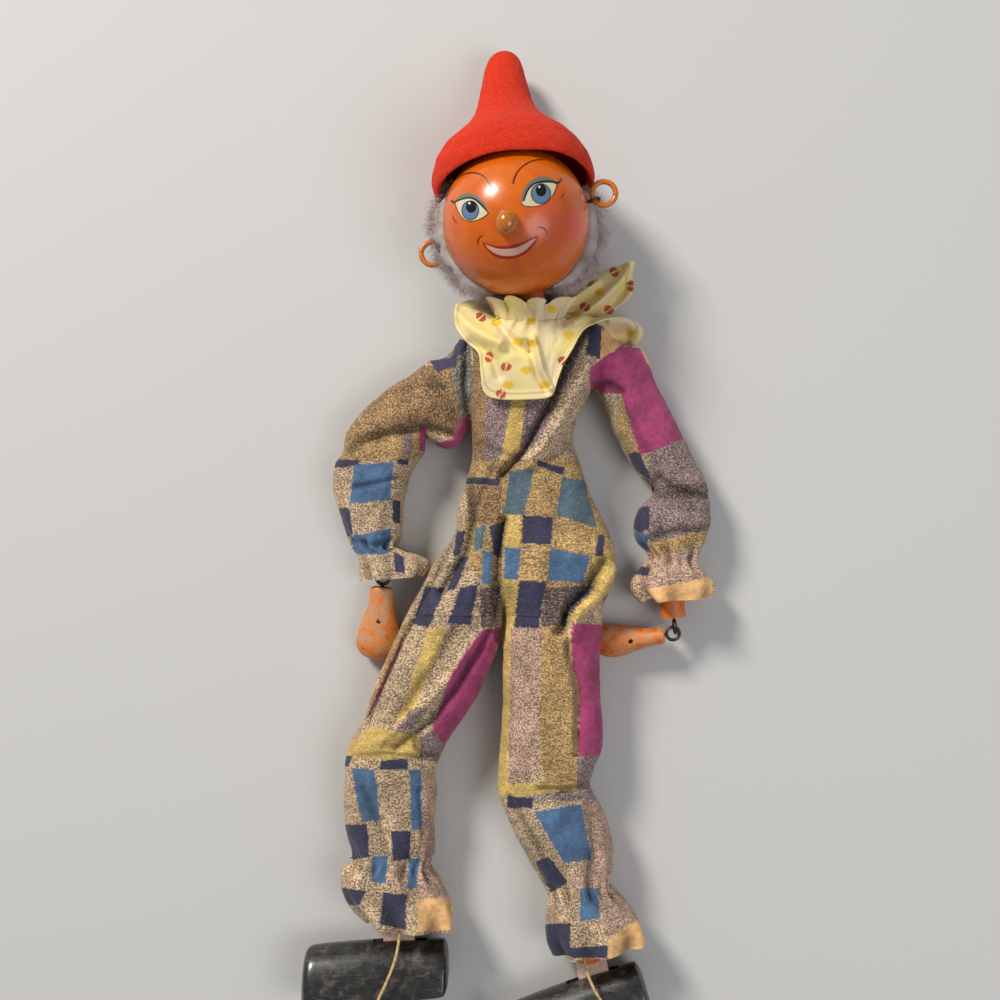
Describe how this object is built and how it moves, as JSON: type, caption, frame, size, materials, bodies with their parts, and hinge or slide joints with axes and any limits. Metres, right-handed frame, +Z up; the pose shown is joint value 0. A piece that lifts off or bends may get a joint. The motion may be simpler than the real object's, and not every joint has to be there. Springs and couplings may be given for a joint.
{
  "type": "string puppet",
  "caption": "Jointed wooden string puppet with a painted ball head, felt hat, gathered collar and loose patterned cotton suit, lying on its back without its strings",
  "frame": {"origin": "under the middle of the figure's bounding box, on the table", "axes": "+Y towards the head, +Z up from the table through the front of the figure, +X towards its left arm"},
  "size_m": [0.1308, 0.3258, 0.0529],
  "materials": {
    "ball_paint": "gloss",
    "painted_wood": "satin",
    "raw_wood": "matte",
    "shoe_paint": "gloss",
    "steel": "satin",
    "ring_paint": "gloss",
    "felt": "matte",
    "wool": "matte",
    "print_cotton": "matte",
    "collar_cotton": "matte",
    "leather": "satin",
    "twine": "matte"
  },
  "bodies": {
    "chest": {"chest_block": "raw_wood", "chest_screw_eyes": "steel", "suit_chest": "print_cotton", "collar": "collar_cotton"},
    "neck_link": {"neck_link": "steel"},
    "head": {"head_ball": "ball_paint", "nose_bead": "ball_paint", "neck_dowel": "painted_wood", "head_screw_eyes": "steel", "hair": "wool", "hat": "felt"},
    "pelvis": {"pelvis_block": "raw_wood", "pelvis_screw_eyes": "steel", "suit_hips": "print_cotton"},
    "ear_ring_left": {"ear_ring_left": "ring_paint"},
    "shoulder_link_left": {"shoulder_link_left": "steel"},
    "upper_arm_left": {"upper_arm_left": "raw_wood", "upper_arm_eyes_left": "steel", "sleeve_upper_left": "print_cotton"},
    "forearm_left": {"forearm_left": "painted_wood", "forearm_eyes_left": "steel", "sleeve_lower_left": "print_cotton", "sleeve_cuff_left": "print_cotton"},
    "hand_left": {"hand_left": "painted_wood", "hand_eye_left": "steel"},
    "hip_link_left": {"hip_link_left": "steel"},
    "thigh_left": {"thigh_left": "raw_wood", "thigh_eyes_left": "steel", "trouser_thigh_left": "print_cotton"},
    "shin_left": {"shin_left": "painted_wood", "knee_eye_left": "steel", "ankle_tongue_left": "leather", "foot_twine_left": "twine", "trouser_shin_left": "print_cotton", "trouser_cuff_left": "print_cotton"},
    "foot_left": {"shoe_left": "shoe_paint", "ankle_pin_left": "steel"},
    "ear_ring_right": {"ear_ring_right": "ring_paint"},
    "shoulder_link_right": {"shoulder_link_right": "steel"},
    "upper_arm_right": {"upper_arm_right": "raw_wood", "upper_arm_eyes_right": "steel", "sleeve_upper_right": "print_cotton"},
    "forearm_right": {"forearm_right": "painted_wood", "forearm_eyes_right": "steel", "sleeve_lower_right": "print_cotton", "sleeve_cuff_right": "print_cotton"},
    "hand_right": {"hand_right": "painted_wood", "hand_eye_right": "steel"},
    "hip_link_right": {"hip_link_right": "steel"},
    "thigh_right": {"thigh_right": "raw_wood", "thigh_eyes_right": "steel", "trouser_thigh_right": "print_cotton"},
    "shin_right": {"shin_right": "painted_wood", "knee_eye_right": "steel", "ankle_tongue_right": "leather", "foot_twine_right": "twine", "trouser_shin_right": "print_cotton", "trouser_cuff_right": "print_cotton"},
    "foot_right": {"shoe_right": "shoe_paint", "ankle_pin_right": "steel"}
  },
  "joints": [
    {"name": "neck_tilt", "type": "hinge", "parent": "chest", "child": "neck_link", "pos_m": [0.00954, 0.07221, 0.01664], "axis": [0.0664, -0.2899, 0.9548], "range_deg": [-20, 20], "deforming": ["collar"]},
    {"name": "neck_nod", "type": "hinge", "parent": "neck_link", "child": "head", "pos_m": [0.0088, 0.07546, 0.01768], "axis": [0.9748, 0.2233, 0], "range_deg": [-10, 30]},
    {"name": "ear_ring_left_swing", "type": "hinge", "parent": "head", "child": "ear_ring_left", "pos_m": [-0.02275, 0.09798, 0.021], "axis": [0, 0, 1], "range_deg": [-90, 5]},
    {"name": "shoulder_left_raise", "type": "hinge", "parent": "chest", "child": "shoulder_link_left", "pos_m": [-0.00744, 0.06304, 0.008], "axis": [0, 0, 1], "range_deg": [-70, 0], "deforming": ["suit_chest"]},
    {"name": "shoulder_left_swing", "type": "hinge", "parent": "shoulder_link_left", "child": "upper_arm_left", "pos_m": [-0.01054, 0.06141, 0.008], "axis": [0.4648, -0.8854, 0], "range_deg": [-75, 10], "deforming": ["sleeve_upper_left"]},
    {"name": "elbow_left", "type": "hinge", "parent": "upper_arm_left", "child": "forearm_left", "pos_m": [-0.04684, 0.04236, 0.008], "axis": [0, 0, 1], "range_deg": [-130, 0], "deforming": ["sleeve_lower_left"]},
    {"name": "wrist_left", "type": "hinge", "parent": "forearm_left", "child": "hand_left", "pos_m": [-0.04057, -0.00523, 0.008], "axis": [0, 0, 1], "range_deg": [-60, 12], "deforming": ["sleeve_cuff_left"]},
    {"name": "ear_ring_right_swing", "type": "hinge", "parent": "head", "child": "ear_ring_right", "pos_m": [0.02774, 0.11151, 0.028], "axis": [0, 0, 1], "range_deg": [-80, 10]},
    {"name": "shoulder_right_raise", "type": "hinge", "parent": "chest", "child": "shoulder_link_right", "pos_m": [0.02786, 0.06304, 0.008], "axis": [0, 0, 1], "range_deg": [0, 70]},
    {"name": "shoulder_right_swing", "type": "hinge", "parent": "shoulder_link_right", "child": "upper_arm_right", "pos_m": [0.02951, 0.05995, 0.008], "axis": [0.8829, 0.4695, 0], "range_deg": [-75, 10], "deforming": ["sleeve_upper_right"]},
    {"name": "elbow_right", "type": "hinge", "parent": "upper_arm_right", "child": "forearm_right", "pos_m": [0.04875, 0.02375, 0.008], "axis": [0, 0, 1], "range_deg": [-3, 82], "deforming": ["sleeve_lower_right"]},
    {"name": "wrist_right", "type": "hinge", "parent": "forearm_right", "child": "hand_right", "pos_m": [0.05394, -0.02397, 0.008], "axis": [0, 0, 1], "range_deg": [-5, 125], "deforming": ["sleeve_cuff_right"]},
    {"name": "waist_bow", "type": "hinge", "parent": "chest", "child": "pelvis", "pos_m": [0.01021, 0.03589, 0.0115], "axis": [-0.9905, 0.1374, 0], "range_deg": [-8, 30], "deforming": ["suit_hips"]},
    {"name": "hip_left_spread", "type": "hinge", "parent": "pelvis", "child": "hip_link_left", "pos_m": [-0.00714, -0.00723, 0.01], "axis": [0, 0, 1], "range_deg": [-8, 5]},
    {"name": "hip_left_swing", "type": "hinge", "parent": "hip_link_left", "child": "thigh_left", "pos_m": [-0.00903, -0.01018, 0.01], "axis": [-0.8415, 0.5402, 0], "range_deg": [-10, 60], "deforming": ["trouser_thigh_left"]},
    {"name": "knee_left", "type": "hinge", "parent": "thigh_left", "child": "shin_left", "pos_m": [-0.03928, -0.0573, 0.01], "axis": [0, 0, 1], "range_deg": [-61, 8], "deforming": ["trouser_shin_left"]},
    {"name": "ankle_left", "type": "hinge", "parent": "shin_left", "child": "foot_left", "pos_m": [-0.03483, -0.12816, 0.01], "axis": [0, 0, 1], "range_deg": [-20, 20], "deforming": ["trouser_cuff_left"]},
    {"name": "hip_right_spread", "type": "hinge", "parent": "pelvis", "child": "hip_link_right", "pos_m": [0.01425, -0.0102, 0.01], "axis": [0, 0, 1], "range_deg": [-5, 15]},
    {"name": "hip_right_swing", "type": "hinge", "parent": "hip_link_right", "child": "thigh_right", "pos_m": [0.01423, -0.0137, 0.01], "axis": [-1, 0.007, 0], "range_deg": [-10, 60], "deforming": ["trouser_thigh_right"]},
    {"name": "knee_right", "type": "hinge", "parent": "thigh_right", "child": "shin_right", "pos_m": [0.01384, -0.0697, 0.01], "axis": [0, 0, 1], "range_deg": [-8, 60], "deforming": ["trouser_shin_right"]},
    {"name": "ankle_right", "type": "hinge", "parent": "shin_right", "child": "foot_right", "pos_m": [0.02848, -0.13918, 0.01], "axis": [0, 0, 1], "range_deg": [-20, 20], "deforming": ["trouser_cuff_right"]}
  ]
}
